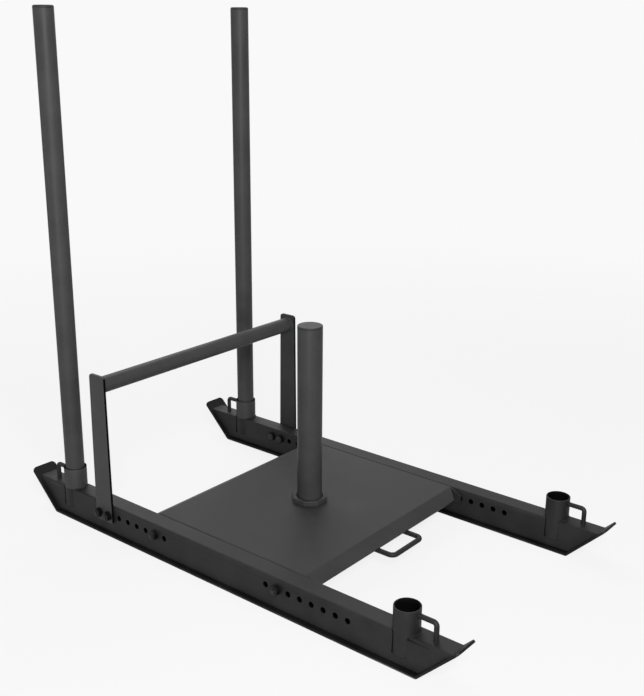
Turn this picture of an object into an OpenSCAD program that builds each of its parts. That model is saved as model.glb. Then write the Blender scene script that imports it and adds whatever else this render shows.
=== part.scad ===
// Weight sled: two skids, a folded deck, a plate post, a low push bar and two lift-out push poles.
// The origin is on the ground under the middle of the sled. +X is the front, where the pull loop is.
// +Y is the left side and +Z is up. Sizes are in millimetres.

/* [Rails] */
// Length of a rail's underside between its slanted ends
rail_l = 915; // [880:5:1100]
// Height of a rail tube
rail_h = 60; // [56:1:70]
// Width of a rail tube
rail_w = 40; // [37:0.5:43]
// Wall of a rail tube
rail_wall = 3; // [2:0.5:4]
// Outer edge radius of a rail tube
rail_edge_r = 4; // [3:0.5:6]
// Distance between the centrelines of the two rails
track_w = 519; // [460:1:640]
// Slope of the rail ends and of the skid lips above the ground
end_angle = 45; // [38:1:55]

/* [Skid plates] */
// Thickness of a skid plate
skid_t = 4.5; // [3:0.5:8]
// Width of a skid plate
skid_w = 56; // [46:1:80]
// Inside radius of the bend at each lip
skid_bend_r = 2; // [1:0.5:4]
// Length of a lip beyond the rail's top corner
lip_over = 21; // [12:1:40]
// Radius of a lip's free corners
lip_corner_r = 10; // [4:1:20]

/* [Pole sockets] */
// Distance of a socket's middle from the end of the rail's underside
socket_inset = 36.5; // [32.5:0.5:57.5]
// Outside diameter of a socket
socket_d = 46.7; // [45.5:0.1:48]
// Height of a socket's mouth above the rail
socket_rise = 43; // [38:1:70]
// Depth that a socket is let into the rail
socket_sink = 41.5; // [30:0.5:48]
// Thickness of a socket's closed bottom
socket_floor = 4; // [3:0.5:8]
// Gap between a socket and the pocket cut in the rail
pocket_gap = 1.1; // [0.3:0.1:1.5]
// Bevel at a socket's mouth
mouth_bevel = 0.8; // [0.3:0.1:1.5]

/* [Push poles] */
// Outside diameter of a push pole
pole_d = 39; // [36:0.5:41]
// Wall of a push pole
pole_wall = 2.5; // [1.5:0.5:4]
// Length of a push pole with its cap
pole_l = 996; // [600:1:1200]
// Gap all round between a pole and the bore of its socket
pole_fit = 0.08; // [0.03:0.01:0.1]
// Thickness of a pole cap's head
pole_cap_t = 2.5; // [2:0.5:6]
// Length of a pole cap's plug
pole_plug_l = 14; // [8:1:25]

/* [Anchor loops] */
// Diameter of the bent rods behind the sockets
anchor_rod_d = 9; // [6:0.5:12]
// Distance from a socket's middle to the upright leg of its loop
anchor_reach = 56.5; // [48:0.5:60]
// Height of the level leg above the rail
anchor_rise = 32.5; // [25:0.5:36]
// Bend radius of the rod's centreline
anchor_bend_r = 9; // [7:0.5:14]

/* [Hole rows] */
// Diameter of the holes through the rails
hole_d = 11.5; // [10.6:0.1:13]
// Pitch of the holes
hole_pitch = 26.3; // [24:0.1:27]
// Distance of the innermost hole from the middle of the sled
hole_first = 131.5; // [120:0.5:150]
// Number of holes in each row
hole_count = 8; // [8:1:9]
// Height of the holes above the rail's underside
hole_h = 40; // [36:0.5:42]

/* [Low bar] */
// Outside diameter of the low bar
bar_d = 32.5; // [25:0.5:38]
// Wall of the low bar
bar_wall = 2.5; // [1.5:0.5:4]
// Height of the low bar's middle above the ground
bar_z = 317; // [220:1:420]
// Thickness of the plates that carry the low bar
bar_plate_t = 5; // [4:0.5:8]
// Width of a bar plate at its top
bar_plate_top_w = 42; // [40:1:60]
// Width of a bar plate at its foot
bar_plate_foot_w = 48; // [46:1:60]
// Height of a bar plate above the low bar's middle
bar_plate_over = 23; // [20:1:40]
// Distance of a bar plate's foot below the bolt holes
bar_plate_under = 16; // [14:1:20]
// Corner radius at the top of a bar plate
bar_plate_r = 7; // [2:0.5:12]
// Count, from the middle, of the first of the two neighbouring holes that hold a bar plate
bar_hole_count = 7; // [6:1:7]

/* [Deck] */
// Thickness of the deck sheet
deck_t = 4; // [3:0.5:5]
// Length of the deck's flat top
deck_l = 374; // [360:1:380]
// Slope of the end flanges below level
flange_angle = 28; // [20:1:32]
// Length of an end flange down its slope
flange_l = 29.7; // [24:0.1:34]
// Distance that an end flange's free corner is set in from the side
flange_inset = 27; // [10:1:60]
// Depth of the side flanges below the deck's top
side_depth = 30.5; // [28:0.5:36]
// Outer bend radius of the deck's folds
deck_bend_r = 5; // [4.5:0.1:7]
// Gap between the deck's side flanges and the rails
deck_gap = 0.3; // [0.2:0.1:0.5]
// Count, from the middle, of the hole that holds the deck at each corner
deck_hole_count = 2; // [1:1:2]

/* [Weight post] */
// Outside diameter of the plate post
post_d = 50; // [24:1:52]
// Wall of the plate post
post_wall = 3; // [2:0.5:5]
// Height of the post above the deck with its cap
post_l = 371; // [200:1:450]
// Thickness of the post cap's head
post_cap_t = 4.5; // [2:0.5:8]
// Length of the post cap's plug
post_plug_l = 16; // [8:1:30]
// Width across the flats of the eight-sided collar at the foot of the post
collar_w = 67; // [60:1:90]
// Height of the collar
collar_h = 12; // [6:0.5:25]

/* [Pull loop] */
// Diameter of the pull loop's rod
pull_rod_d = 10; // [8:0.5:12]
// Distance between the middles of the loop's two legs
pull_w = 94; // [60:1:140]
// Distance from the deck's front edge to the middle of the cross run
pull_reach = 30.5; // [26:0.5:60]
// Length of the loop behind the deck's front edge
pull_tail = 32; // [24:1:60]
// Bend radius of the rod's centreline
pull_bend_r = 11; // [8:0.5:13]

/* [Fasteners] */
// Diameter of the bolts
bolt_d = 10; // [8:0.5:10.5]
// Width across flats of bolt heads and nuts
hex_w = 17; // [15:0.5:18]
// Height of a bolt's head
head_h = 6.4; // [4:0.1:8]
// Height of a nut
nut_h = 8.4; // [5:0.1:10]
// Length of a bolt past its nut
bolt_tail = 2; // [1:0.5:4]
// Diameter of a washer
washer_d = 20; // [18:0.5:22]
// Thickness of a washer
washer_t = 2; // [1:0.1:2.5]

/* [Hidden] */
$fn = 72;

left = 1;
right = -1;
front = 1;
rear = -1;

// Gap kept where a rod or a ring meets a round tube, and round what slips over a shaft
weld_gap = 0.05;
slip_gap = 0.15;
// How far a cutting shape runs past the face that it cuts
over = 1;
// How far a rail's lower corner clears the bend of its skid plate
bend_gap = 0.3;
// How far the deck's side flanges reach past its end flanges
tip_margin = 0.3;
// Bevel on the ends of the poles and the post
tube_bevel = 0.6;
// Edge radii of the cap heads
pole_cap_edge_r = 1.2;
post_cap_edge_r = 1;
// Radius of the collar's upright corners
collar_corner_r = 1.2;
// How much the post is turned down where it stands in its collar
foot_relief = 0.4;
// Length that is surely longer than any tool cut needs
reach = 400;

rail_top = skid_t + rail_h;
rail_y = track_w / 2;
rail_inner_y = rail_y - rail_w / 2;
rail_outer_y = rail_y + rail_w / 2;
// Run that a bend's radius takes off a sharp corner
function bend_run(radius, angle) = radius * tan(angle / 2);
lip_l = rail_h / sin(end_angle) + lip_over;
// Where a lip leaves the flat plate, the way up the lip, and the way out through its thickness
lip_root = [rail_l / 2, skid_t];
lip_way = [cos(end_angle), sin(end_angle)];
lip_out = [sin(end_angle), -cos(end_angle)];

socket_x = rail_l / 2 - socket_inset;
socket_top = rail_top + socket_rise;
socket_foot = rail_top - socket_sink;
socket_bore_d = pole_d + 2 * pole_fit;
pole_foot = socket_foot + socket_floor;
pole_top = pole_foot + pole_l;
pocket_d = socket_d + 2 * pocket_gap;

hole_z = skid_t + hole_h;
function hole_x(count) = hole_first + (count - 1) * hole_pitch;

bar_plate_x = (hole_x(bar_hole_count) + hole_x(bar_hole_count + 1)) / 2;
bar_plate_top = bar_z + bar_plate_over;
bar_plate_foot = hole_z - bar_plate_under;
// Corner radius at the foot of a bar plate
bar_plate_foot_r = 3;

deck_half_w = rail_inner_y - deck_gap;
deck_half_l = deck_l / 2;
flange_run = flange_l * cos(flange_angle);
flange_drop = flange_l * sin(flange_angle);
flange_tip_x = deck_half_l + flange_run;
flange_tip_z = rail_top - flange_drop;
flange_under_z = flange_tip_z - deck_t * cos(flange_angle);
wall_tip_x = flange_tip_x + tip_margin;
side_foot_z = rail_top - side_depth;

post_top = rail_top + post_l;
pull_x = deck_half_l + flange_run + pull_reach;
pull_tail_x = deck_half_l - pull_tail + flange_run;
pull_z = flange_under_z - deck_gap - pull_rod_d / 2;

bar_grip = rail_w + bar_plate_t;
deck_grip = deck_t + deck_gap + rail_w;

// Plain shapes

function unit(v) = v / norm(v);

// Convex outline with its corners turned to true arcs, one radius for each point and 0 for a sharp one
module rounded_outline(points, radii) {
    count = len(points);
    corners = [
        for (i = [0 : count - 1])
            let (
                p = points[i],
                u = unit(points[(i + count - 1) % count] - p),
                w = unit(points[(i + 1) % count] - p),
                half = acos(u * w) / 2,
                run = radii[i] / tan(half)
            )
            [p + u * run, p + w * run, p + unit(u + w) * radii[i] / sin(half)]
    ];
    polygon([
        for (i = [0 : count - 1])
            each radii[i] > 0 ? [corners[i][0], corners[i][1]] : [points[i]]
    ]);
    for (i = [0 : count - 1])
        if (radii[i] > 0)
            translate(corners[i][2])
                circle(r = radii[i]);
}

module rounded_box(w, h, r) {
    corner = [w / 2, h / 2];
    rounded_outline(
        [corner, [-corner.x, corner.y], -corner, [corner.x, -corner.y]],
        [r, r, r, r]
    );
}

// Quarter turn of a rod, from the +X side towards +Y, its axis along Z
module rod_bend(bend_r, rod_d) {
    rotate_extrude(angle = 90)
        translate([bend_r, 0])
            circle(d = rod_d);
}

// Tube standing on z = 0 with small bevels on its outer edges
module bevelled_tube(outer_d, wall, length, bevel) {
    rotate_extrude()
        polygon([
            [outer_d / 2 - wall, 0],
            [outer_d / 2 - bevel, 0],
            [outer_d / 2, bevel],
            [outer_d / 2, length - bevel],
            [outer_d / 2 - bevel, length],
            [outer_d / 2 - wall, length]
        ]);
}

// Plug cap: a round-edged head on z = 0 and a plug below it
module tube_cap(head_d, head_t, edge_r, plug_d, plug_l) {
    rotate_extrude() {
        square([head_d / 2 - edge_r, head_t]);
        square([head_d / 2, head_t - edge_r]);
        translate([head_d / 2 - edge_r, head_t - edge_r])
            intersection() {
                circle(r = edge_r);
                square(edge_r);
            }
        translate([0, -plug_l])
            square([plug_d / 2, plug_l]);
    }
}

// Hexagonal block on z = 0 with its outer corners turned off
module hex_block(h) {
    corner_r = hex_w / 2 / cos(30);
    face_share = 0.96;
    turned_share = 0.2;
    straight_h = h * (1 - turned_share);
    intersection() {
        rotate([0, 0, 30])
            cylinder(r = corner_r, h = h, $fn = 6);
        union() {
            cylinder(r = corner_r, h = straight_h);
            translate([0, 0, straight_h])
                cylinder(r1 = corner_r, r2 = hex_w / 2 * face_share, h = h - straight_h);
        }
    }
}

// Places one copy of what follows at each socket
module at_socket(end, side) {
    translate([end * socket_x, side * rail_y, 0])
        children();
}

// Turns +Z outwards from the sled at one bolt hole, from an inner seat at the given distance
module at_bolt(x, side, seat_y) {
    translate([x, side * seat_y, hole_z])
        rotate([-side * 90, 0, 0])
            children();
}

// Rails

// Removes all that lies past a slanted plane through a corner
module slant_cut(x, z, angle) {
    translate([x, 0, z])
        rotate([0, 90 - angle, 0])
            translate([0, -reach / 2, -reach / 2])
                cube(reach);
}

module rail(side) {
    tube_l = rail_l + 2 * rail_h / tan(end_angle) + 2 * over;
    corner_cut = bend_run(skid_bend_r, end_angle) + bend_gap;
    inner_r = max(rail_edge_r - rail_wall, 0.5);
    translate([0, side * rail_y, 0])
        difference() {
            translate([0, 0, skid_t + rail_h / 2])
                rotate([90, 0, 90])
                    linear_extrude(tube_l, center = true)
                        difference() {
                            rounded_box(rail_w, rail_h, rail_edge_r);
                            rounded_box(rail_w - 2 * rail_wall, rail_h - 2 * rail_wall, inner_r);
                        }
            for (end = [front, rear])
                mirror([end == rear ? 1 : 0, 0, 0]) {
                    slant_cut(rail_l / 2, skid_t, end_angle);
                    slant_cut(rail_l / 2 - corner_cut, skid_t, end_angle / 2);
                    translate([socket_x, 0, socket_foot])
                        cylinder(d = pocket_d, h = socket_sink + over);
                    for (i = [1 : hole_count])
                        translate([hole_x(i), 0, hole_z])
                            rotate([90, 0, 0])
                                cylinder(d = hole_d, h = rail_w + 2 * over, center = true);
                }
        }
}

module left_rail() {
    color("#37383b") rail(left);
}

module right_rail() {
    color("#37383b") rail(right);
}

// Skid plates

function mirrored(points) = [for (i = [len(points) - 1 : -1 : 0]) [-points[i].x, points[i].y]];

module skid_profile() {
    outer_r = skid_bend_r + skid_t;
    outer_half = [
        [lip_root.x + bend_run(skid_t, end_angle), 0],
        lip_root + lip_way * lip_l + lip_out * skid_t,
        lip_root + lip_way * lip_l - lip_out * over
    ];
    inner_half = [lip_root, lip_root + lip_way * (lip_l + 3 * over)];
    difference() {
        rounded_outline(
            concat(outer_half, mirrored(outer_half)),
            [outer_r, 0, 0, 0, 0, outer_r]
        );
        rounded_outline(
            concat(inner_half, mirrored(inner_half)),
            [skid_bend_r, 0, 0, skid_bend_r]
        );
    }
}

// What a lip loses at its corner on the +Y side, in the lip's own plane
module lip_corner() {
    // The arc starts a little outside the edges, so that it meets them at a clear angle
    lead_share = 0.02;
    inset = lip_corner_r * (1 - lead_share);
    translate([lip_root.x, 0, lip_root.y])
        rotate([0, -end_angle, 0])
            translate([lip_l - inset, skid_w / 2 - inset, -2 * skid_t])
                linear_extrude(3 * skid_t)
                    difference() {
                        square(lip_corner_r + over);
                        circle(r = lip_corner_r);
                    }
}

module skid_plate(side) {
    translate([0, side * rail_y, 0])
        difference() {
            rotate([90, 0, 0])
                linear_extrude(skid_w, center = true)
                    skid_profile();
            for (end = [front, rear], edge = [left, right])
                mirror([end == rear ? 1 : 0, 0, 0])
                    mirror([0, edge == right ? 1 : 0, 0])
                        lip_corner();
        }
}

module left_skid_plate() {
    color("#2c2d2f") skid_plate(left);
}

module right_skid_plate() {
    color("#2c2d2f") skid_plate(right);
}

// Pole sockets

module socket() {
    length = socket_top - socket_foot;
    bore_r = socket_bore_d / 2;
    translate([0, 0, socket_foot])
        difference() {
            cylinder(d = socket_d, h = length);
            translate([0, 0, socket_floor])
                cylinder(r = bore_r, h = length);
            translate([0, 0, length - mouth_bevel])
                cylinder(r1 = bore_r, r2 = bore_r + mouth_bevel, h = mouth_bevel);
        }
}

module front_left_socket() {
    color("#3a3b3e") at_socket(front, left) socket();
}

module front_right_socket() {
    color("#3a3b3e") at_socket(front, right) socket();
}

module rear_left_socket() {
    color("#3a3b3e") at_socket(rear, left) socket();
}

module rear_right_socket() {
    color("#3a3b3e") at_socket(rear, right) socket();
}

// Anchor loops: a rod from the socket's side, bent down to the rail

module anchor_loop(end) {
    rod_z = rail_top + anchor_rise;
    mirror([end == rear ? 1 : 0, 0, 0]) {
        difference() {
            translate([0, 0, rod_z])
                rotate([0, 90, 0])
                    cylinder(d = anchor_rod_d, h = anchor_reach - anchor_bend_r);
            translate([0, 0, rail_top])
                cylinder(r = socket_d / 2 + weld_gap, h = 2 * anchor_rise);
        }
        translate([anchor_reach - anchor_bend_r, 0, rod_z - anchor_bend_r])
            rotate([90, 0, 0])
                rod_bend(anchor_bend_r, anchor_rod_d);
        translate([anchor_reach, 0, rail_top])
            cylinder(d = anchor_rod_d, h = anchor_rise - anchor_bend_r);
    }
}

module front_left_anchor_loop() {
    color("#3a3b3e") at_socket(front, left) anchor_loop(front);
}

module front_right_anchor_loop() {
    color("#3a3b3e") at_socket(front, right) anchor_loop(front);
}

module rear_left_anchor_loop() {
    color("#3a3b3e") at_socket(rear, left) anchor_loop(rear);
}

module rear_right_anchor_loop() {
    color("#3a3b3e") at_socket(rear, right) anchor_loop(rear);
}

// Push poles: each stands in a rear socket and lifts out

module push_pole(side) {
    at_socket(rear, side)
        translate([0, 0, pole_foot])
            bevelled_tube(pole_d, pole_wall, pole_l - pole_cap_t, tube_bevel);
}

module pole_cap(side) {
    plug_d = pole_d - 2 * pole_wall - 2 * slip_gap;
    at_socket(rear, side)
        translate([0, 0, pole_top - pole_cap_t])
            tube_cap(pole_d, pole_cap_t, pole_cap_edge_r, plug_d, pole_plug_l);
}

module left_push_pole() {
    color("#414245") push_pole(left);
}

module right_push_pole() {
    color("#414245") push_pole(right);
}

module left_pole_cap() {
    color("#2a2b2d") pole_cap(left);
}

module right_pole_cap() {
    color("#2a2b2d") pole_cap(right);
}

// Low bar and the plates that carry it outside the rails

module low_bar_tube() {
    color("#3d3e41")
        translate([-bar_plate_x, 0, bar_z])
            rotate([90, 0, 0])
                difference() {
                    cylinder(d = bar_d, h = 2 * rail_outer_y, center = true);
                    cylinder(d = bar_d - 2 * bar_wall, h = 2 * rail_outer_y + over, center = true);
                }
}

module bar_plate(side) {
    top_x = bar_plate_top_w / 2;
    foot_x = bar_plate_foot_w / 2;
    translate([-bar_plate_x, side * (rail_outer_y + bar_plate_t / 2), 0])
        rotate([90, 0, 0])
            linear_extrude(bar_plate_t, center = true)
                difference() {
                    rounded_outline(
                        [
                            [top_x, bar_plate_top],
                            [-top_x, bar_plate_top],
                            [-foot_x, bar_plate_foot],
                            [foot_x, bar_plate_foot]
                        ],
                        [bar_plate_r, bar_plate_r, bar_plate_foot_r, bar_plate_foot_r]
                    );
                    for (i = [-1, 1])
                        translate([i * hole_pitch / 2, hole_z])
                            circle(d = hole_d);
                }
}

module left_bar_plate() {
    color("#37383b") bar_plate(left);
}

module right_bar_plate() {
    color("#37383b") bar_plate(right);
}

// Deck: one sheet folded down at the sides, with a sloped flange at each end

// Block with the deck's outer faces: rounded folds along the sides and above the sloped flanges
module deck_block() {
    wall_tip_z = rail_top - (wall_tip_x - deck_half_l) * tan(flange_angle);
    half = [[wall_tip_x, side_foot_z], [wall_tip_x, wall_tip_z], [deck_half_l, rail_top]];
    intersection() {
        rotate([90, 0, 0])
            linear_extrude(2 * (deck_half_w + over), center = true)
                rounded_outline(
                    concat(half, mirrored(half)),
                    [0, 0, deck_bend_r, deck_bend_r, 0, 0]
                );
        rotate([90, 0, 90])
            linear_extrude(2 * (wall_tip_x + over), center = true)
                rounded_outline(
                    [
                        [deck_half_w, rail_top],
                        [-deck_half_w, rail_top],
                        [-deck_half_w, side_foot_z - over],
                        [deck_half_w, side_foot_z - over]
                    ],
                    [deck_bend_r, deck_bend_r, 0, 0]
                );
    }
}

// The hollow under the sheet on the +Y side, open below and past the ends of the flanges
module deck_hollow() {
    fold_x = deck_half_l - bend_run(deck_t, flange_angle);
    flange_way = [cos(flange_angle), -sin(flange_angle)];
    flange_out = [sin(flange_angle), cos(flange_angle)];
    tip = [flange_tip_x, flange_tip_z];
    half = [
        [wall_tip_x + over, side_foot_z - over],
        [wall_tip_x + over, flange_tip_z],
        tip + flange_out * over,
        tip - flange_out * deck_t,
        [fold_x, rail_top - deck_t]
    ];
    translate([0, deck_half_w - deck_t, 0])
        rotate([90, 0, 0])
            linear_extrude(deck_half_w - deck_t + over)
                polygon(concat(half, mirrored(half)));
}

// The mitre that frees the front flange from the side flange on the +Y side
module deck_mitre() {
    root = bend_run(deck_bend_r, flange_angle) + over;
    slope = (flange_inset - deck_t) / (flange_l - root);
    far = flange_l + 2 * over;
    inner_y = deck_half_w - deck_t;
    translate([deck_half_l, 0, rail_top])
        rotate([0, flange_angle, 0])
            translate([0, 0, -2 * deck_t])
                linear_extrude(3 * deck_t)
                    polygon([
                        [root, inner_y],
                        [far, inner_y - slope * (far - root)],
                        [far, inner_y]
                    ]);
}

module deck_plate() {
    color("#434447")
        difference() {
            deck_block();
            for (side = [left, right])
                mirror([0, side == right ? 1 : 0, 0]) {
                    deck_hollow();
                    for (end = [front, rear])
                        mirror([end == rear ? 1 : 0, 0, 0])
                            deck_mitre();
                }
            for (end = [front, rear])
                translate([end * hole_x(deck_hole_count), 0, hole_z])
                    rotate([90, 0, 0])
                        cylinder(d = hole_d, h = 2 * deck_half_w + over, center = true);
        }
}

// Weight post

// The foot is turned down a little, so that plates slide on the post above its collar
module weight_post() {
    bore_r = post_d / 2 - post_wall;
    foot_r = post_d / 2 - foot_relief;
    foot_h = collar_h + foot_relief;
    length = post_l - post_cap_t;
    color("#434447")
        translate([0, 0, rail_top])
            rotate_extrude()
                polygon([
                    [bore_r, 0],
                    [foot_r - tube_bevel, 0],
                    [foot_r, tube_bevel],
                    [foot_r, foot_h],
                    [post_d / 2, foot_h],
                    [post_d / 2, length - tube_bevel],
                    [post_d / 2 - tube_bevel, length],
                    [bore_r, length]
                ]);
}

module post_cap() {
    plug_d = post_d - 2 * post_wall - 2 * slip_gap;
    color("#55565a")
        translate([0, 0, post_top - post_cap_t])
            tube_cap(post_d, post_cap_t, post_cap_edge_r, plug_d, post_plug_l);
}

// Eight-sided ring with a flat side towards each end and each rail
module post_collar() {
    sides = 8;
    corner_r = collar_w / 2 / cos(180 / sides);
    color("#3d3e41")
        translate([0, 0, rail_top])
            linear_extrude(collar_h)
                difference() {
                    rounded_outline(
                        [for (i = [0.5 : sides]) corner_r * [cos(i * 360 / sides), sin(i * 360 / sides)]],
                        [for (i = [1 : sides]) collar_corner_r]
                    );
                    circle(r = post_d / 2 + weld_gap);
                }
}

// Pull loop: a rod bent to a U, its tails turned up to the underside of the deck

module pull_loop() {
    half_w = pull_w / 2;
    tail_top = rail_top - deck_t;
    run_l = pull_x - pull_tail_x - 2 * pull_bend_r;
    color("#303134")
        for (side = [left, right])
            mirror([0, side == right ? 1 : 0, 0]) {
                translate([pull_tail_x, half_w, pull_z + pull_bend_r])
                    cylinder(d = pull_rod_d, h = tail_top - pull_z - pull_bend_r);
                translate([pull_tail_x + pull_bend_r, half_w, pull_z + pull_bend_r])
                    rotate([90, 180, 0])
                        rod_bend(pull_bend_r, pull_rod_d);
                translate([pull_tail_x + pull_bend_r, half_w, pull_z])
                    rotate([0, 90, 0])
                        cylinder(d = pull_rod_d, h = run_l);
                translate([pull_x - pull_bend_r, half_w - pull_bend_r, pull_z])
                    rod_bend(pull_bend_r, pull_rod_d);
                translate([pull_x, 0, pull_z])
                    rotate([-90, 0, 0])
                        cylinder(d = pull_rod_d, h = half_w - pull_bend_r);
            }
}

// Fasteners: heads inside, nuts outside, a washer under each

module bolt(grip) {
    length = washer_t + grip + washer_t + nut_h + bolt_tail;
    translate([0, 0, -washer_t]) {
        cylinder(d = bolt_d, h = length);
        mirror([0, 0, 1])
            hex_block(head_h);
    }
}

module washer_pair(grip) {
    for (z = [-washer_t, grip])
        translate([0, 0, z])
            difference() {
                cylinder(d = washer_d, h = washer_t);
                translate([0, 0, -over])
                    cylinder(d = bolt_d + 2 * slip_gap, h = washer_t + 2 * over);
            }
}

module nut(grip) {
    translate([0, 0, grip + washer_t])
        difference() {
            hex_block(nut_h);
            translate([0, 0, -over])
                cylinder(d = bolt_d + 2 * weld_gap, h = nut_h + 2 * over);
        }
}

// Places one copy of what follows at each of the bar's four bolts
module at_bar_bolts() {
    for (side = [left, right], i = [0, 1])
        at_bolt(-hole_x(bar_hole_count + i), side, rail_inner_y)
            children();
}

// Places one copy of what follows at each of the deck's four bolts
module at_deck_bolts() {
    for (side = [left, right], end = [front, rear])
        at_bolt(end * hole_x(deck_hole_count), side, deck_half_w - deck_t)
            children();
}

module bar_bolts() {
    color("#1f2022") at_bar_bolts() bolt(bar_grip);
}

module bar_washers() {
    color("#1f2022") at_bar_bolts() washer_pair(bar_grip);
}

module bar_nuts() {
    color("#1f2022") at_bar_bolts() nut(bar_grip);
}

module deck_bolts() {
    color("#1f2022") at_deck_bolts() bolt(deck_grip);
}

module deck_washers() {
    color("#1f2022") at_deck_bolts() washer_pair(deck_grip);
}

module deck_nuts() {
    color("#1f2022") at_deck_bolts() nut(deck_grip);
}

left_rail();
right_rail();
left_skid_plate();
right_skid_plate();
front_left_socket();
front_right_socket();
rear_left_socket();
rear_right_socket();
front_left_anchor_loop();
front_right_anchor_loop();
rear_left_anchor_loop();
rear_right_anchor_loop();
left_push_pole();
right_push_pole();
left_pole_cap();
right_pole_cap();
low_bar_tube();
left_bar_plate();
right_bar_plate();
deck_plate();
weight_post();
post_cap();
post_collar();
pull_loop();
bar_bolts();
bar_washers();
bar_nuts();
deck_bolts();
deck_washers();
deck_nuts();
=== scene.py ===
import math

import bmesh
import bpy
from mathutils import Matrix, Vector


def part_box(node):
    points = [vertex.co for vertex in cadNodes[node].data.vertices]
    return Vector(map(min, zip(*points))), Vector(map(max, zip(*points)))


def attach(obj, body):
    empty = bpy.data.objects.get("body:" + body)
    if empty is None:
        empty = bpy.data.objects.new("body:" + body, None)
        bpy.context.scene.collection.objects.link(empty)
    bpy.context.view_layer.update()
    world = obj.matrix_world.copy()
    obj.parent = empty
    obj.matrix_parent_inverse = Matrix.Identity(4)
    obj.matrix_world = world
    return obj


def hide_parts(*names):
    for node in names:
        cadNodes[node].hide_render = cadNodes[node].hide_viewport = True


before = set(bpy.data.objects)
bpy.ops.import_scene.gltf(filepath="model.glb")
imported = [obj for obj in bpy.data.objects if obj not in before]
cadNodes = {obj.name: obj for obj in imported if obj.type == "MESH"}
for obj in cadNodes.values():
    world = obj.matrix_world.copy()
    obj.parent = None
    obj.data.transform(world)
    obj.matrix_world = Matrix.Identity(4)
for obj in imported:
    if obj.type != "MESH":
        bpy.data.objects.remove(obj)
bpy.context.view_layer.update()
scene = bpy.context.scene
print("frame loaded,", len(cadNodes), "parts")

# Sizes below are in millimetres and are turned to metres when a piece is finished. The camera, the
# lamps and the patterns of the finishes are in metres
mmToMetres = 0.001


def cadSpan(node):
    # Reach of a CAD part at rest along x, y and z, in millimetres to a hundredth
    low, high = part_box(node)
    return {
        axis: (round(start / mmToMetres, 2), round(end / mmToMetres, 2))
        for axis, start, end in zip("xyz", low, high)
    }


def middle(reach):
    return sum(reach) / 2


def extent(reach):
    return reach[1] - reach[0]


# Camera, solved from the photograph

cameraView = {
    "imageWidth": 644,
    "imageHeight": 696,
    "focalPixels": 1045.253,
    "centrePixel": (318.364, 343.936),
    "azimuth": -50.707,
    "elevation": 17.472,
    "roll": 0.326,
    "place": (1.240249, -1.490179, 1.007781),
    "sensorWidth": 36,
    "clip": (0.05, 60),
}


def makeCamera(view):
    azimuth = math.radians(view["azimuth"])
    elevation = math.radians(view["elevation"])
    roll = math.radians(view["roll"])
    ahead = -Vector((
        math.cos(azimuth) * math.cos(elevation),
        math.sin(azimuth) * math.cos(elevation),
        math.sin(elevation),
    ))
    level = ahead.cross(Vector((0, 0, 1))).normalized()
    upright = level.cross(ahead)
    side = math.cos(roll) * level + math.sin(roll) * upright
    top = -math.sin(roll) * level + math.cos(roll) * upright
    data = bpy.data.cameras.new("sledCamera")
    data.sensor_fit = "HORIZONTAL"
    data.sensor_width = view["sensorWidth"]
    width, height = view["imageWidth"], view["imageHeight"]
    data.lens = view["focalPixels"] / width * data.sensor_width
    data.shift_x = (width / 2 - view["centrePixel"][0]) / width
    data.shift_y = (view["centrePixel"][1] - height / 2) / width
    data.clip_start, data.clip_end = view["clip"]
    camera = bpy.data.objects.new("sledCamera", data)
    pose = Matrix((side, top, -ahead)).transposed().to_4x4()
    pose.translation = Vector(view["place"])
    camera.matrix_world = pose
    scene.collection.objects.link(camera)
    scene.camera = camera


makeCamera(cameraView)
print("camera set")

# Floor, world and lamps

studio = {
    "floorHalf": 20,
    "floorColour": (0.86, 0.86, 0.86, 1),
    "bounceColour": (0.38, 0.38, 0.38, 1),  # what the floor sends back to the sled
    "backgroundColour": (0.947, 0.947, 0.947, 1),
    "nearShare": 0.88,  # share of plain background in the floor close to the sled
    "glossyShare": 0.45,  # how much of that share a mirrored ray sees
    "nearReach": 0.9,
    "farReach": 3.2,
    "ambientColour": (0.05, 0.05, 0.0505, 1),
}
lamps = {
    "frontSoftbox": {
        "place": (2.2, -2, 2.2), "aim": (-0.2, 0, 0.45), "size": (1.2, 1.2), "power": 135,
    },
    "overheadSoftbox": {
        "place": (-1.9, 1.3, 2.9), "aim": (0, 0, 0.1), "size": (2.4, 2.2), "power": 46,
    },
    "backSoftbox": {
        "place": (-3, 2.6, 1.6), "aim": (0, 0, 0.2), "size": (2.4, 2.0), "power": 11,
    },
    "lowSoftbox": {
        "place": (1.55, -2.5, 0.35), "aim": (-0.3, 0, 0.5), "size": (0.5, 0.6), "power": 25,
    },
    "leftSoftbox": {
        "place": (-2.0, -2.4, 0.45), "aim": (-0.35, -0.28, 0.15), "size": (1.0, 0.6), "power": 7,
    },
}


def addNode(tree, kind, place, feeds=None, **values):
    # One node with its settings and input values; feeds are the outputs linked into its sockets
    node = tree.nodes.new(kind)
    node.location = place
    for key, value in values.items():
        if hasattr(node, key):
            setattr(node, key, value)
        else:
            node.inputs[key.replace("_", " ")].default_value = value
    for socket, source in (feeds or {}).items():
        tree.links.new(source, node.inputs[socket])
    return node


def maths(tree, place, operation, first, second=None, clamp=False):
    # Output of a maths node whose inputs are numbers or other outputs
    node = addNode(tree, "ShaderNodeMath", place, operation=operation, use_clamp=clamp)
    for socket, source in zip(node.inputs, (first, second)):
        if isinstance(source, bpy.types.NodeSocket):
            tree.links.new(source, socket)
        elif source is not None:
            socket.default_value = source
    return node.outputs[0]


def backgroundRays(tree, place, glossyShare=1):
    # 1 for camera and transmission rays, the given share for glossy ones and 0 for the others
    x, y = place
    path = addNode(tree, "ShaderNodeLightPath", place).outputs
    glossy = maths(tree, (x + 90, y - 180), "MULTIPLY", path["Is Glossy Ray"], glossyShare)
    first = maths(tree, (x + 180, y), "MAXIMUM", path["Is Camera Ray"], glossy)
    return maths(tree, (x + 360, y), "MAXIMUM", first, path["Is Transmission Ray"])


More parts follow.
